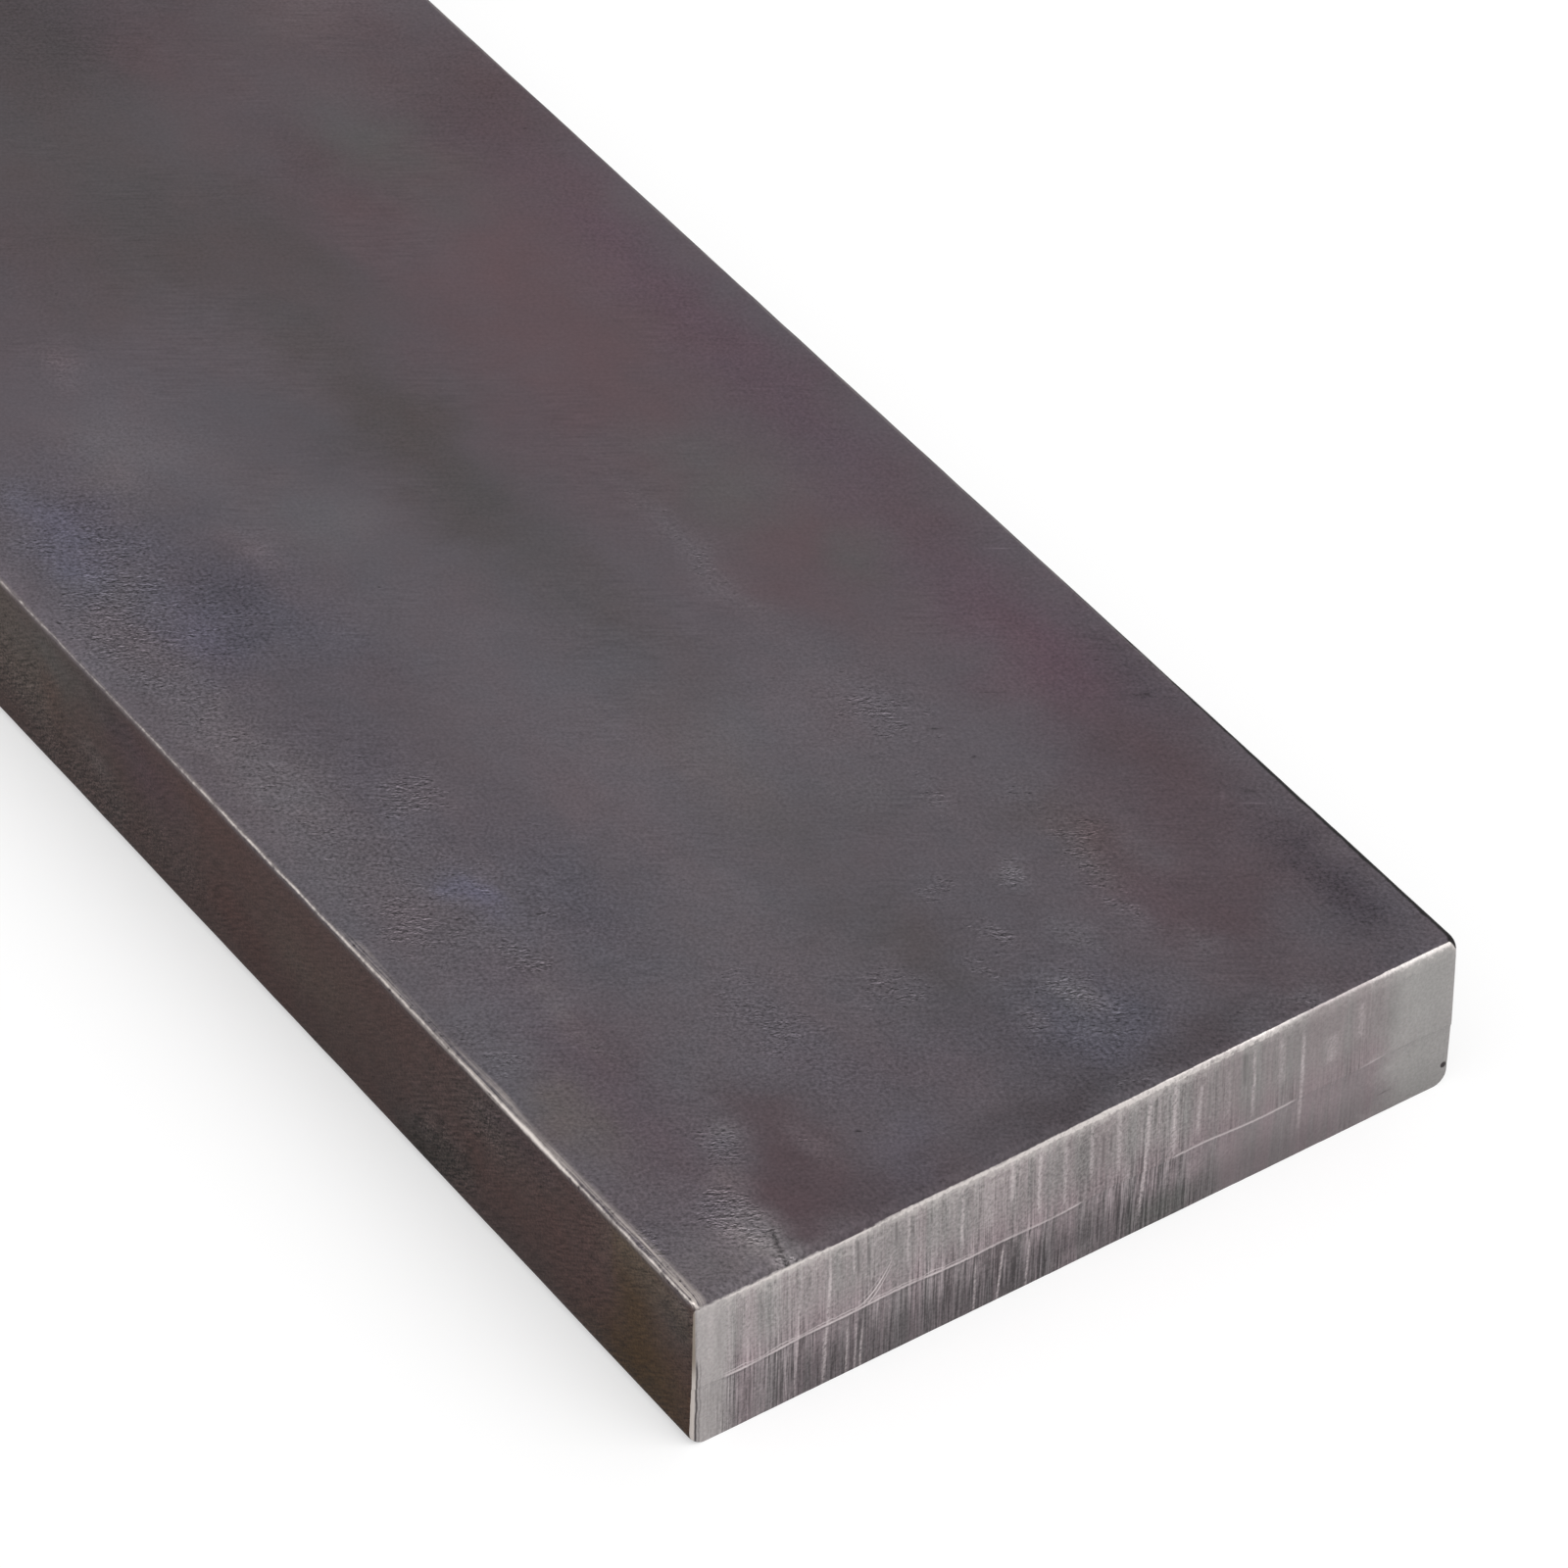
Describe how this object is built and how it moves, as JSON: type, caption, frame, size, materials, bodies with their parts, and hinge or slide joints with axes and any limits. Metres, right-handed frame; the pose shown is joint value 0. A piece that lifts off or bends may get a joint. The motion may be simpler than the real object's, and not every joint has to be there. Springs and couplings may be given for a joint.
{
  "type": "metal flat bar",
  "caption": "Hot-rolled steel flat bar with slightly rounded long corners and sheared ends, rolled over at the entry edge.",
  "frame": {"origin": "middle of the underside, on the face that the bar lies on", "axes": "+X along the bar, +Y across its width, +Z through its thickness, away from the face that it lies on"},
  "size_m": [1, 0.07, 0.015],
  "materials": {
    "rolled_steel": "dark hot-rolled mill scale, with bare sheared steel on the ends"
  },
  "bodies": {
    "root": {"flat_bar": "rolled_steel"}
  },
  "joints": []
}
